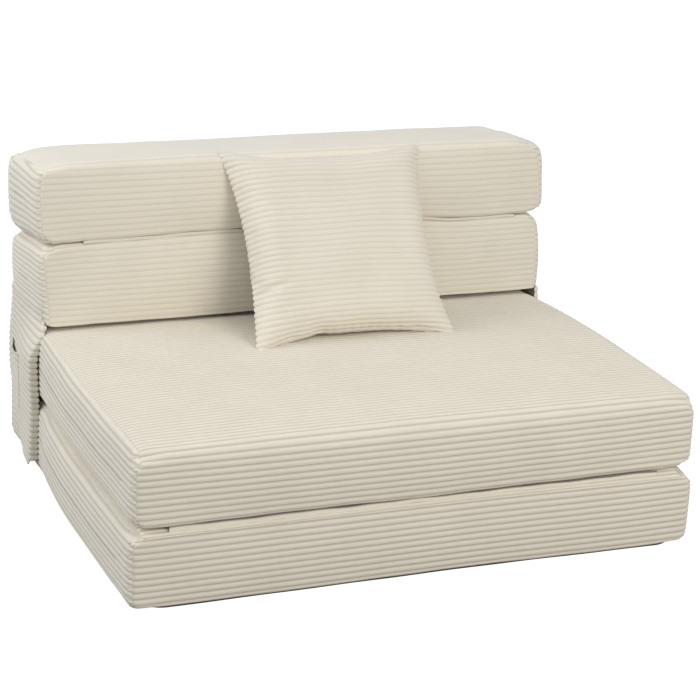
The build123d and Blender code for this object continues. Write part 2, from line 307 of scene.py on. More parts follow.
def sunk(x, y, z):
    """How far the joint between the back blocks has settled: a little toward either end, and most at
    the left rear corner."""
    joint_z, reach_z = 0.431, 0.12
    left, right, left_corner, left_rear = 0.0045, 0.0065, 0.004, 0.017
    low = left * smooth((-0.10 - x) / 0.36) + right * smooth((x - 0.23) / 0.12)
    low += (left_corner + left_rear * smooth((y - 0.22) / 0.18)) * smooth((-0.40 - x) / 0.09)
    return low * np.clip(1 - np.abs(z - joint_z) / reach_z, 0, 1)


def leaned(x, y, z):
    """How far the ends of the back have shifted to the right, given at a few heights. The left end's
    shift fades out toward the rear."""
    right = np.interp(z, [0.27, 0.33, 0.38, 0.425, 0.445, 0.50, 0.57],
                      [0.0065, 0.0040, 0.0, -0.004, 0.003, -0.003, -0.005])
    left = np.interp(z, [0.27, 0.30, 0.36, 0.41, 0.43, 0.445, 0.50],
                     [0.0110, 0.0100, 0.0045, 0.0, 0.0, 0.004, 0.0])
    left = left * smooth((-0.2 - x) / 0.28) * (1 - 0.9 * smooth((y - 0.2) / 0.16))
    return right * smooth((x - 0.2) / 0.3) + left


class Block:
    """The form of one foam block in its cover, in metres.

    centre and half place its ends along X; y is its front and rear, z its foot and top.
    bulge is the swell of the front, crown that of the top, which ends at crown_end along Y.
    rolls are the radii of the lower front, upper front, upper rear and lower rear edges.
    falls are how long and how deep the top, the front and rear, and the bottom fall off toward
    the ends, and nose is what the upper corners lose besides.
    pulls are how far the ends stand back at their lower and upper edge, and over what height;
    left_share scales the upper pull on the left, and push the swell of the ends.
    pile is the share of the ribs' height that shows, seed picks the cloth's unevenness.
    gives is not used; it holds a joint, where the block's rear is and a share of depth.
    slope is the drop of the top to the rear, narrow the drawing in of the left and right ends
    there, and gape the opening of the lower and upper front edge."""

    def __init__(self, name, *, centre, half, y, z, bulge, crown, crown_end, rolls, falls, nose,
                 pulls, pile, seed, gives, slope=0.0, narrow=(0.0, 0.0), gape=(0.0, 0.0),
                 push=1.0, left_share=1.0):
        self.name, self.centre, self.half, self.y, self.z = name, centre, half, y, z
        self.bulge, self.crown, self.crown_end = bulge, crown, crown_end
        self.rolls, self.falls, self.nose, self.pulls = rolls, falls, nose, pulls
        self.pile, self.seed, self.gives = pile, seed, gives
        self.slope, self.narrow, self.gape = slope, narrow, gape
        self.push, self.left_share = push, left_share
        self.seam = half - seam_inset

    def corner_pull(self, x, z):
        """How far the ends stand back toward their lower and upper edges."""
        (low, low_tall), (high, high_tall) = self.pulls
        high = high * (self.left_share if x < 0 else 1)
        below = np.clip((self.z[0] + self.rolls[0] + low_tall - z) / low_tall, 0, 1)
        above = np.clip((z - self.z[1] + self.rolls[1] + high_tall) / high_tall, 0, 1)
        return low * (1 - np.sqrt(1 - below**2)) + high * (1 - np.sqrt(1 - above**2))

    def skin(self, x, spots, facing):
        """Places of the side view's points at the distance x from the block's middle."""
        end_roll, front_roll, nose_roll, low_nose = 0.09, 0.055, 0.07, 0.005
        y, z = spots[:, 0].copy(), spots[:, 1].copy()
        to_end = smooth((abs(x) - self.half + end_roll) / (end_roll - seam_inset))
        back = self.corner_pull(x, z) * to_end ** 1.5
        tall = 2 * (z - self.z[0]) / (self.z[1] - self.z[0]) - 1
        deep = (y - self.y[0]) / (self.crown_end - self.y[0])
        wide = abs(x) / self.half
        y -= self.bulge * (1 - tall**2) * (1 - wide**4) * np.maximum(-facing[:, 0], 0)
        swell = np.sqrt(np.clip(4 * deep * (1 - deep), 0, 1))
        held_down = 0.85 if x < 0 else 0.2
        z += self.crown * swell * (1 - held_down * wide**4) * np.maximum(facing[:, 1], 0)
        z -= self.slope * np.clip(deep, 0, 1) * np.maximum(facing[:, 1], 0)
        near_front = smooth((self.y[0] + front_roll - y) / front_roll)
        z += self.gape[0] * near_front * np.maximum(-facing[:, 1], 0)
        z -= self.gape[1] * near_front * np.maximum(facing[:, 1], 0)
        inset = np.zeros(len(y))
        for share, (long, high) in zip(
                (np.maximum(facing[:, 1], 0) ** 2, facing[:, 0] ** 2,
                 np.maximum(-facing[:, 1], 0) ** 2), self.falls):
            t = np.clip((abs(x) - (self.half - long)) / long, 0, 0.93)
            inset += share * high * (1 - math.sqrt(1 - t * t))
        nose = (2 * facing[:, 0] * facing[:, 1]) ** 2
        high_nose = np.where(facing[:, 1] > 0, self.nose, low_nose)
        inset += high_nose * nose * smooth((abs(x) - self.half + nose_roll) / nose_roll)
        y -= facing[:, 0] * inset
        z -= facing[:, 1] * inset
        return np.stack([self.centre + x - np.sign(x) * back, y, z], -1)

    def drawn_in(self, points):
        """Points of the block as it has settled: the ends drawn in toward the rear, where the flaps
        hang, the lower seat's front askew, and the back's ends leaning and its joint sunk."""
        left = smooth((points[..., 1] + 0.10) / 0.30)
        right = smooth((points[..., 1] + 0.05) / 0.28)
        off = points[..., 0] - self.centre
        share = np.where(off < 0, left * self.narrow[0], right * self.narrow[1]) / self.half
        moved = points.copy()
        moved[..., 0] = self.centre + off * (1 - share)
        if self.name == "lower_seat":
            moved[..., 1] -= askew(moved[..., 0], moved[..., 1])
        if self.y[0] > 0:
            moved[..., 0] += leaned(*np.moveaxis(moved, -1, 0))
            moved[..., 2] -= sunk(*np.moveaxis(moved, -1, 0))
        return moved

    def give_way(self, made):
        """Gives a piece of the block its own copy of its mesh."""
        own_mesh(made)

    def section(self, count):
        return side_view(self.y[0] + self.bulge, self.y[1], *self.z, self.rolls, count)


# The length of each rear zip, and half the width and the depth of the channel that it lies in.
zip_long, zip_channel, zip_sunk = 0.76, 0.0075, 0.006


def cover_wrap(block, material):
    """The panel that wraps round a block."""
    round_it = block.section(16)[2]
    wales = round(round_it / wale)
    spots, facing, _ = block.section(wales * steps_per_wale)
    near = np.array([0.0005, 0.0015, 0.003, 0.005, 0.0075, 0.011, 0.016, 0.022, 0.03])
    middle = np.linspace(-block.seam + 0.042, block.seam - 0.042, 66)
    xs = np.concatenate([-block.seam + near, middle, (block.seam - near)[::-1]])
    points = np.stack([block.skin(x, spots, facing) for x in xs])
    count = np.tile(np.arange(len(spots)) / steps_per_wale, (len(xs), 1))
    wander = 0.0012 * drift(points, 0.35, block.seed) + 0.0005 * drift(points, 0.09, block.seed + 1)
    face = -outward(points, around=True)
    if (face[len(xs) // 2, :, 1] * facing[:, 0]).sum() < 0:
        face = -face
    edge = block.seam - np.abs(xs)
    fade = 0.35 + 0.65 * smooth(edge / 0.009)
    dip = 0.0018 * (1 - smooth(edge / 0.0035))
    raised = wale_height * block.pile * (rib(count) * fade[:, None] - 0.72) - dip[:, None]
    raised += wander
    bank = 0.005
    in_channel = smooth((zip_channel + bank - np.abs(points[..., 2] - sum(block.z) / 2)) / bank)
    in_channel *= smooth((zip_long / 2 + 2 * bank - np.abs(xs)) / bank)[:, None]
    in_channel *= facing[:, 0] > 0.5
    raised = raised * (1 - in_channel) - zip_sunk * in_channel
    raw = points + face * raised[..., None]
    points = block.drawn_in(raw)
    block.rim = {-1: raw[0], 1: raw[-1]}
    hem, hem_lean = 0.004, 0.0008
    inner = []
    for end, x in ((0, xs[0] - hem_lean), (-1, xs[-1] + hem_lean)):
        tucked = points[end] - face[end] * hem
        tucked[:, 0] += x - xs[end]
        inner.append(tucked)
    points = np.concatenate([inner[0][None], points, inner[1][None]])
    lengths = np.concatenate([[xs[0] - hem], xs, [xs[-1] + hem]])
    last = np.arange(len(spots) + 1) / steps_per_wale
    coords = np.stack(grid(lengths, last), -1)
    made = sheet_of_points(block.name + "_cover_wrap", points, coords, material, around=True)
    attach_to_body(made, block.name)
    block.give_way(made)
    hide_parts(block.name + "_wrap")


blocks = [
    Block("lower_seat", centre=-0.0010, half=0.5140, y=(-0.418, 0.405), z=(0.0012, 0.1318),
          bulge=0.004, crown=0.0, crown_end=0.405, rolls=(0.006, 0.009, 0.022, 0.010),
          falls=((0.03, 0.006), (0.03, 0.010), (0.03, 0.006)), nose=0.005,
          pulls=((0.004, 0.014), (0.017, 0.020)), pile=1.0, seed=3,
          gives=("seat_fold", 0.405, 0.975), narrow=(0.014, 0.010), gape=(0.0, 0.0075)),
    Block("upper_seat", centre=0.0055, half=0.5130, y=(-0.411, 0.405), z=(0.1325, 0.2625),
          bulge=0.008, crown=0.011, crown_end=0.215, rolls=(0.009, 0.022, 0.028, 0.020),
          falls=((0.05, 0.008), (0.03, 0.007), (0.03, 0.006)), nose=0.007,
          pulls=((0.011, 0.012), (0.007, 0.016)), pile=1.0, seed=13,
          gives=("seat_fold", 0.405, 0.990), narrow=(0.009, 0.004), gape=(0.0007, 0.0), push=0.75),
    Block("lower_back", centre=0.0085, half=0.5025, y=(0.193, 0.405), z=(0.2655, 0.4305),
          bulge=0.008, crown=0.0, crown_end=0.405, rolls=(0.010, 0.008, 0.020, 0.020),
          falls=((0.03, 0.008), (0.026, 0.010), (0.03, 0.004)), nose=0.005,
          pulls=((0.001, 0.010), (0.014, 0.020)), pile=0.24, seed=23,
          gives=("back_fold", 0.299, 0.975), gape=(0.0085, 0.0015), left_share=1.5),
    Block("upper_back", centre=0.0065, half=0.5065, y=(0.194, 0.405), z=(0.4312, 0.571),
          bulge=0.008, crown=0.008, crown_end=0.405, rolls=(0.008, 0.015, 0.030, 0.020),
          falls=((0.075, 0.020), (0.026, 0.010), (0.03, 0.003)), nose=0.006,
          pulls=((0.020, 0.018), (0.022, 0.045)), pile=0.20, seed=33,
          gives=("back_top_fold", 0.405, 0.988), slope=0.016, gape=(0.0015, 0.0),
          left_share=0.35),
]
cream_corduroy = corduroy("cream_corduroy")
# Painted light: a lighter copy of the cream corduroy with fainter painted groove shade, for the back
# blocks, whose fronts stand lighter in this light than the seat's.
painted_light_corduroy = corduroy("painted_light_corduroy", [c * 1.05 for c in cream[:3]], groove_shade_strength=0.30)
finishes = [cream_corduroy, cream_corduroy, painted_light_corduroy, painted_light_corduroy]
for block, finish in zip(blocks, finishes):
    cover_wrap(block, finish)

# End panels.
# A panel of the same corduroy closes each end of a block, its wales running from front to rear. It
# is sewn to the wrap all round, and the foam pushes it out a little.


def end_push(block, spread, y, z):
    """How far the end of a block stands out from its seam, at a distance spread inside the seam."""
    edge_wide, edge_out, swell_out, pinched = 0.016, 0.0055, 0.0065, 0.7
    tall = 2 * (z - block.z[0]) / (block.z[1] - block.z[0]) - 1
    along = 2 * (y - block.y[0]) / (block.y[1] - block.y[0]) - 1
    roll = np.clip(spread / edge_wide, 0, 1)
    round_off = edge_out * np.sqrt(1 - (1 - roll) ** 2)
    swell = swell_out * np.clip(1 - tall**2, 0, 1) * np.clip(1 - along**6, 0, 1)
    pinch = block.push * (1 - pinched * (block.narrow[0] > 0) * smooth((y - 0.10) / 0.10))
    return pinch * (round_off + swell)


def end_panel(block, side):
    """One end of a block; side is -1 on the left and 1 on the right. Its rings of points run from
    the seam inward to a short line along the middle."""
    rim, hem_deep, seam_soft = block.rim[side], 0.010, 0.020
    middle_y, middle_z = sum(block.y) / 2, sum(block.z) / 2
    spare = max((block.y[1] - block.y[0] - block.z[1] + block.z[0]) / 2, 0.01)
    core = np.stack([np.clip(rim[:, 1], middle_y - spare, middle_y + spare),
                     np.full(len(rim), middle_z)], -1)
    near = np.array([0, 0.0008, 0.002, 0.0035, 0.0055, 0.008]) / (middle_z - block.z[0])
    share = 1 - np.concatenate([near, np.linspace(0.145, 0.996, 52)])
    flat = core + (rim[:, 1:] - core) * share[:, None, None]
    spread = np.stack([((np.linalg.norm(ring[:, None] - rim[None, ::5, 1:], axis=-1) + 1e-6) ** -8)
                       .sum(1) ** -0.125 for ring in flat])
    spread[0] = 0
    y, z = flat[..., 0], flat[..., 1]
    count = (z - block.z[0]) / wale
    seam_back = block.seam - np.abs(rim[:, 0] - block.centre)
    stands_back = 1 - np.sqrt(1 - np.clip(1 - spread / seam_soft, 0, 1) ** 2)
    x = block.seam - 0.0005 + end_push(block, spread, y, z) - seam_back * stands_back
    points = np.stack([x, y, z], -1)
    fade = smooth(spread / 0.010)
    raised = wale_height * max(block.pile, 0.8) * (rib(count) - 0.55) * fade
    raised += 0.0016 * drift(points, 0.2, block.seed + 5 + side) * fade
    if block is blocks[0] and side < 0:
        # A pucker under the joint, as in the photograph.
        pucker_y, pucker_z, pucker_deep = -0.05, 0.134, 0.0045
        across_it = (z - pucker_z - 0.055 * (y - pucker_y)) / 0.009
        raised -= pucker_deep * np.exp(-across_it**2) * np.exp(-((y - pucker_y) / 0.07) ** 2) * fade
    points[..., 0] = block.centre + side * (points[..., 0] + raised)
    points[0] = rim
    points = block.drawn_in(points)
    rim = points[0]
    hem = np.concatenate([rim[None] - [side * hem_deep, 0, 0], points])
    count = np.concatenate([count[:1], count])
    coords = np.stack([hem[..., 1], count], -1)
    coords = np.concatenate([coords, coords[:, :1]], 1)
    # Painted light: the back blocks' ends take a lighter copy of the cloth.
    finish = painted_light_end_corduroy if block.y[0] > 0 else cream_corduroy
    made = sheet_of_points(block.name + ("_left" if side < 0 else "_right") + "_end_panel",
                           hem, coords, finish, around=True)
    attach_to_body(made, block.name)
    block.give_way(made)
    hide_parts(block.name + ("_left_end" if side < 0 else "_right_end"))


# Painted light: a lighter copy of the cream corduroy for the back blocks' ends, whose sides stand
# lighter in this light.
painted_light_end_corduroy = corduroy("painted_light_end_corduroy", [c * 1.06 for c in cream[:3]], groove_shade_strength=0.6)
for block in blocks:
    for side in (-1, 1):
        end_panel(block, side)

# Foam cores.
# A cut block of open-cell foam fills each cover, pushed in through the zip at the rear. Nothing of
# it shows while the zips are closed.


def open_cell_foam():
    foam = Finish("open_cell_foam")
    place = foam.node("TexCoord", (), (), out=3)
    cells = foam.node("TexVoronoi", {"feature": "DISTANCE_TO_EDGE"}, {"Vector": place, "Scale": 700})
    tone = foam.noise(place, 0.06, 3)
    colour = foam.mix(tone, (0.80, 0.74, 0.55, 1), (0.92, 0.88, 0.70, 1))
    raised = foam.node("Bump", (), {"Strength": 0.6, "Distance": 0.001, "Height": cells})
    return foam.shade(Base_Color=colour, Roughness=0.9 - cells * 0.2, Normal=raised)


foam_finish = open_cell_foam()


def foam_core(block):
    """The foam in a block, a little smaller than its cover, with closed ends."""
    steps, spare_end, spare = 240, 0.004, 0.0075
    spots, facing, _ = block.section(steps)
    reach = block.seam - spare_end
    rings = np.stack([block.skin(x, spots, facing) - np.c_[np.zeros(steps), facing] * spare
                      for x in np.linspace(-reach, reach, 40)])
    middle = np.array([sum(block.y) / 2, sum(block.z) / 2])
    lids = np.stack([rings[[0, -1]]] * 3)
    shares = np.array([0.9, 0.5, 0.02])[:, None, None, None]
    lids[..., 1:] = middle + (lids[..., 1:] - middle) * shares
    points = block.drawn_in(np.concatenate([lids[::-1, 0], rings, lids[:, 1]]))
    around = np.linspace(0, 1, steps + 1)
    coords = np.stack(grid(points[:, 0, 0], around), -1)
    made = sheet_of_points(block.name + "_foam_core", points, coords, foam_finish, around=True)
    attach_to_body(made, block.name)
    block.give_way(made)
    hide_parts(block.name + "_foam")


for block in blocks:
    foam_core(block)

# Joining strips.
# Bands of the same cloth sewn to the edges of two blocks that fold on each other: along the front
# between the seat blocks and between the back blocks, and along the rear under the back.


def joining_strip(name, node, ends, y, z, facing, tall):
    """A soft band along X, stretched level over the groove between two rolled edges. facing is -1
    where it looks to the front and 1 to the rear; y is its face; tall is half its height at either
    end."""
    cloth_thickness, strip_rows = 0.0014, 27
    length = ends[1] - ends[0]
    xs = np.concatenate([[0, 0.0008, 0.002, 0.004], np.linspace(0.008, length - 0.008, 90),
                         length - np.array([0.004, 0.002, 0.0008, 0])])
    share = np.linspace(-1, 1, strip_rows)
    half = tall[0] + (tall[1] - tall[0]) * smooth(xs / length * 1.4)
    points = np.zeros((len(xs), len(share), 3))
    points[..., 0] = ends[0] + xs[:, None]
    wander = 0.0005 * np.sin(xs * 31 + 1) + 0.0004 * np.sin(xs * 77)
    tuck = 0.0008 * share**2 + 0.0030 * np.clip((np.abs(share) - 0.8) / 0.2, 0, 1) ** 2
    points[..., 1] = y - facing * tuck
    points[..., 2] = z + half[:, None] * share + wander[:, None]
    if y > 0 > facing:
        points[..., 2] -= sunk(*np.moveaxis(points, -1, 0))
    points[..., 1] -= 0.5 * askew(points[..., 0], points[..., 1])
    near_end = np.minimum(xs, length - xs)[:, None]
    points[..., 1] -= facing * 0.0010 * (1 - smooth(np.abs(near_end - 0.006) / 0.0015))
    points[..., 1] += facing * 0.0008 * drift(points, 0.05, 61)
    # Across the strip the cloth coordinates run so that the painted groove shade falls on its upper and
    # lower edges.
    coords = np.stack(grid(xs, share * 0.49 + 0.5), -1)
    made = sheet_of_points(name, points, coords, painted_shade_strip_corduroy)
    thicken(made, cloth_thickness)
    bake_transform(made)
    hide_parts(node)


# Painted shade: the strip's cloth is darkened to a deep brown along its upper and lower edges, as thin
# dark lines where it tucks into the joints.
painted_shade_strip_corduroy = corduroy("painted_shade_strip_corduroy", dark=(0.10, 0.08, 0.06, 1), groove_shade_strength=1.0)
joining_strip("seat_joining_strip", "seat_strip", ends=(-0.440, 0.441), y=-0.4020, z=0.1282,
              facing=-1, tall=(0.0060, 0.0042))
joining_strip("back_joining_strip", "back_strip", ends=(-0.4085, 0.4475), y=0.2030, z=0.4308,
              facing=-1, tall=(0.0042, 0.0036))
joining_strip("rear_joining_strip", "rear_strip", ends=(-0.443, 0.443), y=0.4015, z=0.2640,
              facing=1, tall=(0.0055, 0.0055))

# Side flaps.
# A flap of corduroy hangs from each end of the lower back block, outside the seat. Its wales run
# from front to rear like those of the end panel above, and its slanted front edge has a wide hem.


flap_hem_columns = 11


def side_flap(name, node, side, hang, body):
    """side is -1 on the left and 1 on the right; hang is the place of its outer face. Gives the
    points of the cloth's middle, row by row from its sewn top edge down."""
    back = blocks[2]
    turned, corner, top, cloth_thickness = 0.0135, 0.004, 0.3035, 0.0020
    turned_steps, bend_steps, rows = 5, 6, 240
    rib_height, front_tooth, rear_tooth, stitch_deep, sewn_deep = 0.0017, 0.0036, 0.0030, 0.0012, 0.0020
    bend = np.radians(np.linspace(0, 90, bend_steps))
    inward = np.concatenate([np.linspace(turned, corner, turned_steps + 1)[:-1],
                             corner * (1 - np.sin(bend))])
    behind = np.concatenate([np.zeros(turned_steps), corner * (1 - np.cos(bend))])
    flat = np.concatenate([np.linspace(0.02, 0.95, 60), [0.965, 0.98, 0.992, 1.0]])
    across = np.concatenate([np.zeros(flap_hem_columns), flat])
    inward = np.concatenate([inward, np.zeros(len(flat))])
    behind = np.concatenate([behind, np.full(len(flat), corner)])
    t, across = grid(np.linspace(0, 1, rows), across)
    y = 0.2 + 0.19 * across
    # The foot slants up toward the rear, and the front edge runs a little forward as it goes down.
    for _ in range(4):
        heel = 0.010 + 0.042 * smooth((y - 0.235) / 0.115) + 0.012 * smooth((0.214 - y) / 0.014)
        z = top + (heel - top) * t
        front = 0.2045 - 0.0055 * smooth((0.272 - z) / 0.02) + 0.012 * smooth((z - 0.274) / 0.010)
        rear = 0.394 - 0.034 * smooth((0.16 - z) / 0.11)
        y = front + behind + (rear - front - corner) * across
    drop = smooth((top - 0.012 - z) / 0.080)
    spread = np.minimum(y - back.y[0], back.y[1] - y)
    attach = back.centre + side * (back.seam + end_push(back, np.clip(spread, 0, 1), y,
                                                        np.maximum(z, 0.288)) + 0.0002)
    attach = attach + leaned(attach, y, np.maximum(z, 0.276))
    hug = 0.0135 * smooth((y - 0.215) / 0.165) * drop
    curl = 0.5 * smooth((0.284 - z) / 0.012) + 0.5 * smooth((0.262 - z) / 0.022)
    x = attach + (hang - attach) * drop - side * (hug + inward * curl)
    points = np.stack([x, y, z], -1)
    points[..., 0] += side * 0.0025 * drift(points, 0.16, 40 + side) * drop
    count = (z - back.z[0]) / wale
    edge = (inward / turned) ** 2 * curl
    points[..., 0] += side * front_tooth * (0.5 - rib(count)) * edge
    points[..., 1] += rear_tooth * (rib(count) - 0.5) * smooth((across - 0.94) / 0.06)
    from_fold = (y - front) * (across > 0)
    stitch = (1 - smooth(np.abs(from_fold - 0.0065) / 0.0018)) * (across > 0)
    sewn = 1 - smooth((top - z) / 0.004)
    sewn = sewn + 2.2 * smooth((0.245 - y) / 0.03) * smooth((z - 0.274) / 0.004)
    raised = rib_height * (rib(count) - 0.6) - stitch_deep * stitch * curl
    face = outward(points)
    if face[rows // 2, face.shape[1] // 2, 0] * side < 0:
        face = -face
    points = points + face * (raised - sewn_deep * sewn)[..., None]
    made = sheet_of_points(name, points, np.stack([y, count], -1), cream_corduroy)
    thicken(made, cloth_thickness)
    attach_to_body(made, body)
    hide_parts(node)
    return points


left_flap = side_flap("left_flap_cloth", "left_flap", -1, -0.5065, "left_flap")
side_flap("right_flap_cloth", "right_flap", 1, 0.5130, "right_flap")

# Flap pocket.
# A small flat pocket of the same corduroy, sewn on the left flap along its sides and lower edge. Its
# mouth hangs a little open.


def flap_pocket():
    front, wide, foot, mouth_z, cloth_thickness = 0.302, 0.064, 0.086, 0.196, 0.0014
    t, across = grid(np.linspace(0, 1, 90), np.linspace(0, 1, 36))
    y = front + wide * across
    mouth = mouth_z + 0.011 * across**2 - 0.007 * np.sin(math.pi * across)
    z = mouth + (foot - mouth) * t
    count = (z - blocks[2].z[0]) / wale
    flat = left_flap[:, flap_hem_columns:].reshape(-1, 3)
    near = np.array([np.argmin((flat[:, 1] - a) ** 2 + (flat[:, 2] - b) ** 2)
                     for a, b in zip(y.ravel(), z.ravel())])
    x = flat[near, 0].reshape(y.shape)
    gape = 0.0052 * np.sin(math.pi * across) * (1 - smooth(t / 0.35))
    x -= 0.0020 + gape + 0.0004 * rib(count)
    x += 0.0016 * (1 - smooth(np.minimum(across, 1 - across) / 0.05))
    x += 0.0016 * smooth((t - 0.96) / 0.04)
    points = np.stack([x, y, z], -1)
    made = sheet_of_points("flap_pocket_cloth", points, np.stack([y, count], -1), cream_corduroy)
    thicken(made, cloth_thickness)
    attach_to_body(made, "left_flap")
    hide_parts("flap_pocket")


flap_pocket()

# Scatter cushion.
# Two panels of the corduroy sewn edge to edge and stuffed with loose fibre. It stands on the seat and
# leans on the back. The panels are cut flat, filled up here step by step, and so draw in at the sides.

cushion_wide, cushion_high = 0.399, 0.378
cushion_wale = 0.0103
cushion_columns, cushion_rows = 47, 45


def stuffed(volume, rounds):
    """Fills two flat panels that share their edges. Gives the places of both, the front one first."""
    plump, unevenness, damping, pressure, relaxing = 0.02, 0.0004, 0.90, 14, 7
    stiff, shear, bend_u, bend_v = 0.5, 0.10, 0.06, 0.03
    u = np.linspace(-cushion_wide / 2, cushion_wide / 2, cushion_columns)
    v = np.linspace(-cushion_high / 2, cushion_high / 2, cushion_rows)
    across, up = grid(u, v)
    bow = np.cos(math.pi * across / cushion_wide) * np.cos(math.pi * up / cushion_high)
    panels = np.stack([np.stack([across, up, side * plump * bow], -1) for side in (1, -1)])
    made = np.random.default_rng(5)
    panels[..., 2] += made.normal(scale=unevenness, size=panels.shape[:-1])
    before = panels.copy()
    step_u, step_v = u[1] - u[0], v[1] - v[0]
    slant, every = math.hypot(step_u, step_v), slice(None)
    less, more, less_by_3, more_by_3 = slice(0, -1), slice(1, None), slice(0, -3), slice(3, None)
    ties = [((less, every), (more, every), step_u, stiff),
            ((every, less), (every, more), step_v, stiff),
            ((less, less), (more, more), slant, shear),
            ((less, more), (more, less), slant, shear),
            ((less_by_3, every), (more_by_3, every), 3 * step_u, bend_u),
            ((every, less_by_3), (every, more_by_3), 3 * step_v, bend_v)]
    for _ in range(rounds):
        square = np.cross(np.gradient(panels, axis=1), np.gradient(panels, axis=2))
        square[1] *= -1
        held = (panels * square).sum() / 3
        push = np.clip((volume - held) / volume, 0, 1) * pressure
        moved = panels + (panels - before) * damping + square * push
        before, panels = panels, moved
        for _ in range(relaxing):
            change = np.zeros_like(panels)
            for first, second, rest, strength in ties:
                a, b = (every, *first), (every, *second)
                span = panels[b] - panels[a]
                long = np.linalg.norm(span, axis=-1, keepdims=True)
                pull = span * (1 - rest / np.maximum(long, 1e-9)) * strength * 0.5
                change[a] += pull
                change[b] -= pull
            panels = panels + change
            for edge in ((every, 0), (every, -1), (every, every, 0), (every, every, -1)):
                panels[edge] = panels[edge].mean(0)
    return panels


cushion = stuffed(volume=0.0068, rounds=160)
share_u, share_v = (2 * cushion / [cushion_wide, cushion_high, 1])[..., :2].transpose(3, 0, 1, 2)
draw_u, draw_v = 0.045, 0.030
cushion[..., 0] *= 1 - draw_u * np.clip(1 - share_v**2, 0, 1) * np.abs(share_u) ** 3
cushion[..., 1] *= 1 - draw_v * np.clip(1 - share_u**2, 0, 1) * np.abs(share_v) ** 3
notch_place, notch_wide, notch_up, notch_thin = -0.16, 0.020, 0.0115, 0.0060
notch_u = (cushion[..., 0] / cushion_wide - notch_place) * cushion_wide / notch_wide
notch = np.exp(-notch_u**2) * np.exp(-(cushion[..., 1] + cushion_high / 2 - 0.006) / 0.016)
cushion[..., 1] += notch_up * np.clip(notch, 0, 1)
cushion[..., 2] -= notch_thin * np.clip(notch, 0, 1) * np.sign(cushion[..., 2])
ear = 0.016
flat_u, flat_v = grid(np.linspace(-1, 1, cushion_columns) * cushion_wide / 2,
                      np.linspace(-1, 1, cushion_rows) * cushion_high / 2)
over_u = np.clip(np.abs(flat_u) - cushion_wide / 2 + ear, 0, None)
over_v = np.clip(np.abs(flat_v) - cushion_high / 2 + ear, 0, None)
cut_off = 1 - np.maximum(over_u, over_v) / np.maximum(np.hypot(over_u, over_v), 1e-9)
cushion[..., 0] -= np.sign(flat_u) * over_u * cut_off
cushion[..., 1] -= np.sign(flat_v) * over_v * cut_off
for side_u, side_v, shift in ((-1, 1, (-0.007, 0.009, 0)), (-1, -1, (0, -0.0155, 0.024)),
                              (1, -1, (0, -0.009, 0.014))):
    at_corner = (np.clip(side_u * share_u, 0, 1) * np.clip(side_v * share_v, 0, 1)) ** 3
    cushion += at_corner[..., None] * shift
cushion_lean = math.radians(57.5)
cushion_turn = np.array([[1, 0, 0], [0, math.cos(cushion_lean), -math.sin(cushion_lean)],
                         [0, math.sin(cushion_lean), math.cos(cushion_lean)]])
cushion_middle = np.array([0.0425, 0.1098, 0.4205])
cushion_corduroy = corduroy("cushion_corduroy", groove_shade_strength=0.30)


def cushion_face(name, node, side):
    """One panel of the cushion, its wales running across: the front one where side is 1."""
    rib_height, faint, crease_deep, crease_wide, crease_long = 0.0022, 0.26, 0.0060, 0.006, 0.030
    coarse = cushion[0 if side > 0 else 1]
    edge = np.array([0, 0.15, 0.35, 0.6, 0.9, 1.3])
    last = cushion_columns - 1
    places_u = np.concatenate([edge, np.linspace(1.8, last - 1.8, 110), last - edge[::-1]])
    wales = cushion_high / cushion_wale
    places_v = np.linspace(0, cushion_rows - 1, int(wales * steps_per_wale) + 1)
    points = finer(finer(coarse, 0, places_u), 1, places_v)
    u = places_u / last * cushion_wide
    v = places_v / (cushion_rows - 1) * cushion_high
    count = np.tile(v / cushion_wale, (len(u), 1)) + 0.30 * drift(points, 0.16, 71)
    face = outward(points) * (1 if side > 0 else -1)
    rim = np.minimum(np.minimum(u, cushion_wide - u)[:, None],
                     np.minimum(v, cushion_high - v)[None, :])
    fade = smooth(rim / 0.006)
    left_side = np.exp(-(u / 0.10) ** 2)[:, None]
    low_side = np.exp(-(v / 0.06) ** 2)[None, :]
    other = np.exp(-((cushion_wide - u) / 0.05) ** 2)[:, None] * 0.5
    clear = faint + (1 - faint) * np.clip(left_side + low_side + other, 0, 1)
    crease = (v[None, :] - 0.105 - 0.25 * (u[:, None] - 0.03)) / crease_wide
    crease = np.exp(-crease**2) * np.exp(-((u[:, None] - 0.045) / crease_long) ** 2)
    raised = rib_height * (rib(count) - 0.4) * fade * clear - crease_deep * crease * fade
    raised += 0.0014 * drift(points, 0.10, 72) * smooth(rim / 0.03)
    points = points + face * raised[..., None]
    at_side = np.exp(-(np.minimum(u, cushion_wide - u) / 0.006) ** 2)[:, None]
    points[..., 0] += np.sign(u - cushion_wide / 2)[:, None] * 0.0030 * (rib(count) - 0.6) * at_side
    placed = points @ cushion_turn.T + cushion_middle
    coords = np.stack([np.tile(u[:, None], (1, len(v))), count], -1)
    made = sheet_of_points(name, placed, coords, cushion_corduroy)
    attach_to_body(made, "pillow")
    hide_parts(node)


cushion_face("cushion_front_panel", "pillow_front", 1)
cushion_face("cushion_back_panel", "pillow_back", -1)

# Cushion filling.
# Loose polyester fibre fills the cushion, put in through its zip. None of it shows.


def loose_fibre():
    fibre = Finish("loose_fibre")
    place = fibre.node("TexCoord", (), (), out=3)
    tufts = fibre.noise(place, 0.012, 6)
    colour = fibre.mix(tufts, (0.86, 0.86, 0.84, 1), (0.97, 0.97, 0.95, 1))
    raised = fibre.node("Bump", (), {"Strength": 0.5, "Distance": 0.003, "Height": tufts})
    return fibre.shade(Base_Color=colour, Roughness=0.85 + tufts * 0.1, Normal=raised)


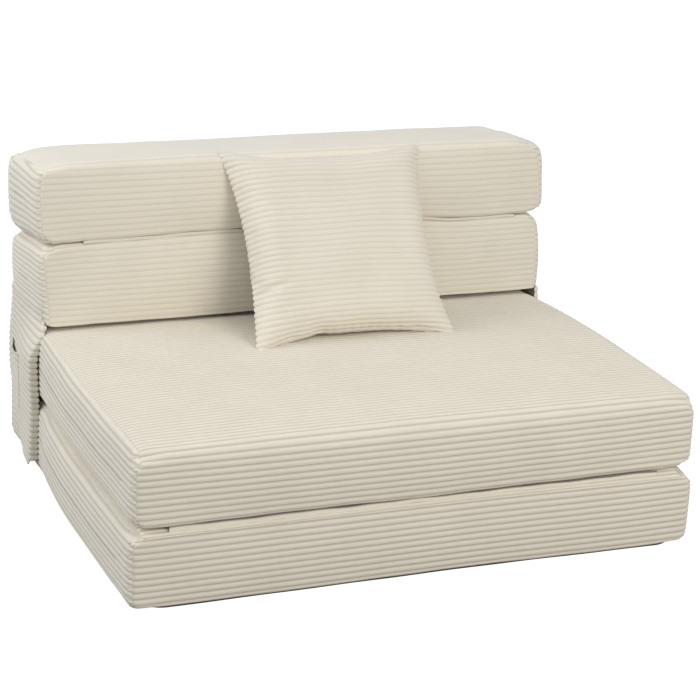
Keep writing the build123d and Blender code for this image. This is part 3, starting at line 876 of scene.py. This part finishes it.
fill_flat, fill_thick = 0.93, 0.88
centre_line = cushion.mean(0)
inner = np.concatenate([cushion[0], cushion[1][::-1][1:]])
inner_middle = np.concatenate([centre_line, centre_line[::-1][1:]])
inner = inner_middle * [fill_flat, fill_flat, 1] + (inner - inner_middle) * [1, 1, fill_thick]
inner = inner[:, 1:-1]
filling = sheet_of_points("cushion_filling", inner @ cushion_turn.T + cushion_middle,
                          inner[..., :2], loose_fibre())
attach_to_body(filling, "pillow")
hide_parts("pillow_filling")

# Zips.
# Every cover closes with a coil zip along its rear, and the cushion's with a finer one near the lower
# edge of its rear panel. The tapes are woven in the colour of the cloth, the teeth are nylon.


def zip_tape_cloth():
    tape = Finish("zip_tape")
    place = tape.node("TexCoord", (), (), out=3)
    threads = tape.noise(place, 0.0009, 1, (1, 1, 0.3))
    colour = tape.mix(threads, (0.52, 0.47, 0.38, 1), (0.66, 0.61, 0.51, 1))
    raised = tape.node("Bump", (), {"Strength": 0.4, "Distance": 0.0005, "Height": threads})
    return tape.shade(Base_Color=colour, Roughness=0.7 + threads * 0.15, Normal=raised)


def cast_metal():
    metal = Finish("plain_cast_slider")
    place = metal.node("TexCoord", (), (), out=3)
    wear = metal.noise(place, 0.004, 4)
    colour = metal.mix(wear, (0.55, 0.53, 0.49, 1), (0.70, 0.68, 0.63, 1))
    return metal.shade(Base_Color=colour, Roughness=0.28 + wear * 0.2, Metallic=1.0)


def bricks(name, centres, size, material):
    """Many small bevelled bricks as one mesh."""
    corner = np.array([(x, y, z) for x in (-1, 1) for y in (-1, 1) for z in (-1, 1)]) * 0.5
    faces = np.array([(0, 1, 3, 2), (4, 6, 7, 5), (0, 4, 5, 1), (2, 3, 7, 6), (0, 2, 6, 4),
                      (1, 5, 7, 3)])
    spots = (np.asarray(centres)[:, None] + corner * size).reshape(-1, 3)
    sides = (np.arange(len(centres))[:, None, None] * 8 + faces).reshape(-1, 4)
    mesh = bpy.data.meshes.new(name)
    mesh.from_pydata(spots.tolist(), [], sides.tolist())
    mesh.materials.append(material)
    made = bpy.data.objects.new(name, mesh)
    bpy.context.scene.collection.objects.link(made)
    soft = made.modifiers.new("soft_edges", "BEVEL")
    soft.width, soft.segments = min(size) * 0.25, 2
    return made


tape_finish, slider_finish = zip_tape_cloth(), cast_metal()
zip_tape_half, zip_tape_thickness = 0.007, 0.0007


def rear_zip(block):
    """The tape, teeth and slider along the rear of a block's cover."""
    middle_z = (block.z[0] + block.z[1]) / 2
    xs = np.linspace(-zip_long / 2, zip_long / 2, 120)
    rise = np.linspace(-zip_tape_half, zip_tape_half, 11)
    along, up = grid(xs, rise)
    bed = block.y[1] - zip_sunk
    out = bed + 0.0011 + 0.0004 * np.cos(up * 440)
    points = block.drawn_in(np.stack([block.centre + along, out, middle_z + up], -1))
    tape = sheet_of_points(block.name + "_zip_tape", points, points[..., [0, 2]], tape_finish)
    thicken(tape, zip_tape_thickness)
    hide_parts(block.name + "_zip")
    bare, pitch, off = 0.004, 0.0024, 0.0011
    spots = [(block.centre + x, bed + 0.0022, middle_z + (off if k % 2 else -off))
             for k, x in enumerate(np.arange(-zip_long / 2 + bare, zip_long / 2 - bare, pitch))]
    teeth = bricks(block.name + "_zip_teeth", block.drawn_in(np.array(spots)),
                   (0.0015, 0.0014, 0.0036), tape_finish)
    end = block.centre + zip_long / 2 - 0.012
    slider = bricks(block.name + "_slider",
                    block.drawn_in(np.array([(end, bed + 0.0032, middle_z),
                                             (end - 0.003, bed + 0.0046, middle_z),
                                             (end - 0.003, bed + 0.0056, middle_z - 0.0045)])),
                    (0.010, 0.0024, 0.0055), slider_finish)
    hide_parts(block.name + "_zip_slider")
    for piece, named in ((tape, "zip_tape"), (teeth, "zip_tape"), (slider, "zip_metal")):
        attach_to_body(piece, block.name)
        block.give_way(piece)


for block in blocks:
    rear_zip(block)

zip_u = np.linspace(0.12, 0.88, 90) * (cushion_columns - 1)
zip_v = np.linspace(0.012, 0.022, 9) / cushion_high * (cushion_rows - 1)
zip_stand_out = 0.0012
cushion_zip = finer(finer(cushion[1], 0, zip_u), 1, zip_v)
cushion_zip = cushion_zip - outward(cushion_zip) * zip_stand_out
zip_coords = np.stack(grid(zip_u, zip_v), -1) * 0.01
cushion_zip = sheet_of_points("cushion_zip_tape", cushion_zip @ cushion_turn.T + cushion_middle,
                              zip_coords, tape_finish)
thicken(cushion_zip, zip_tape_thickness)
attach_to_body(cushion_zip, "pillow")
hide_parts("pillow_zip")

# Camera.
# Stands where the photograph was taken from, turned to the right of straight ahead, tipped down and
# tilted a little.

camera_place = (-1.450, -3.396, 1.509)
turn, tip, tilt = math.radians(23.54), math.radians(18.71), math.radians(2.87)
ahead = np.array([math.sin(turn) * math.cos(tip), math.cos(turn) * math.cos(tip), -math.sin(tip)])
level = np.array([math.cos(turn), -math.sin(turn), 0])
upright = np.cross(level, ahead)
rightward = level * math.cos(tilt) + upright * math.sin(tilt)
upward = upright * math.cos(tilt) - level * math.sin(tilt)
lens = bpy.data.cameras.new("camera")
lens.lens, lens.sensor_width = 111.96, 36
camera = bpy.data.objects.new("camera", lens)
bpy.context.scene.collection.objects.link(camera)
camera.matrix_world = Matrix([[rightward[k], upward[k], -ahead[k], camera_place[k]]
                              for k in range(3)] + [[0, 0, 0, 1]])
bpy.context.scene.camera = camera

# Light and floor.
# A white floor under a pale sky, with three broad soft lamps: one on the left and two in front.


def lamp(name, place, aim, size, power, colour):
    light = bpy.data.lights.new(name, "AREA")
    light.shape, light.size, light.energy, light.color = "SQUARE", size, power, colour
    held = bpy.data.objects.new(name, light)
    bpy.context.scene.collection.objects.link(held)
    held.location = place
    held.rotation_euler = (Vector(place) - Vector(aim)).to_track_quat("Z", "Y").to_euler()


lamp("lamp_left", place=(-2.9, 0.5, 2.2), aim=(0, 0.2, 0.35), size=2.0, power=46,
     colour=(1.0, 0.985, 0.965))
lamp("lamp_front", place=(0.7, -2.5, 2.0), aim=(0, 0.3, 0.5), size=1.8, power=29,
     colour=(1.0, 0.93, 0.80))
lamp("lamp_far", place=(0.8, -5.0, 1.6), aim=(0, 0.3, 0.5), size=2.0, power=28,
     colour=(1.0, 0.95, 0.85))

sky = Finish("studio", bpy.data.worlds.new("studio"))
bpy.context.scene.world = sky.material
path = sky.node("LightPath")
looked_at = path.work("MAXIMUM", path, path.of("Is Glossy Ray"))
looked_at = looked_at.work("MAXIMUM", looked_at, path.of("Is Transmission Ray"))
tint = sky.mix(looked_at, (0.95, 0.975, 1.0, 1), (1, 1, 1, 1))
sky_light = 0.59
backdrop = sky.node("Background", (), {"Color": tint,
                                       "Strength": looked_at * (1 - sky_light) + sky_light})
sky.node("OutputWorld", (), {"Surface": backdrop})

floor_finish = Finish("floor_white")
is_seen = floor_finish.node("LightPath")
matt = floor_finish.node("BsdfDiffuse", (), {"Color": (0.34, 0.34, 0.34, 1)})
glow = floor_finish.node("Emission", (), {"Color": (1, 1, 1, 1), "Strength": 0.90})
lit = floor_finish.node("AddShader", (), {0: matt, 1: glow})
shown = floor_finish.node("MixShader", (), {0: is_seen, 1: matt, 2: lit})
floor_finish.node("OutputMaterial", (), {"Surface": shown})
floor_half = 9
ground = bpy.data.meshes.new("floor")
ground.from_pydata([(a * floor_half, b * floor_half, 0)
                    for a, b in ((-1, -1), (1, -1), (1, 1), (-1, 1))], [], [(0, 1, 2, 3)])
ground.materials.append(floor_finish.material)
floor = bpy.data.objects.new("floor", ground)
bpy.context.scene.collection.objects.link(floor)

bpy.context.scene.view_settings.view_transform = "Standard"
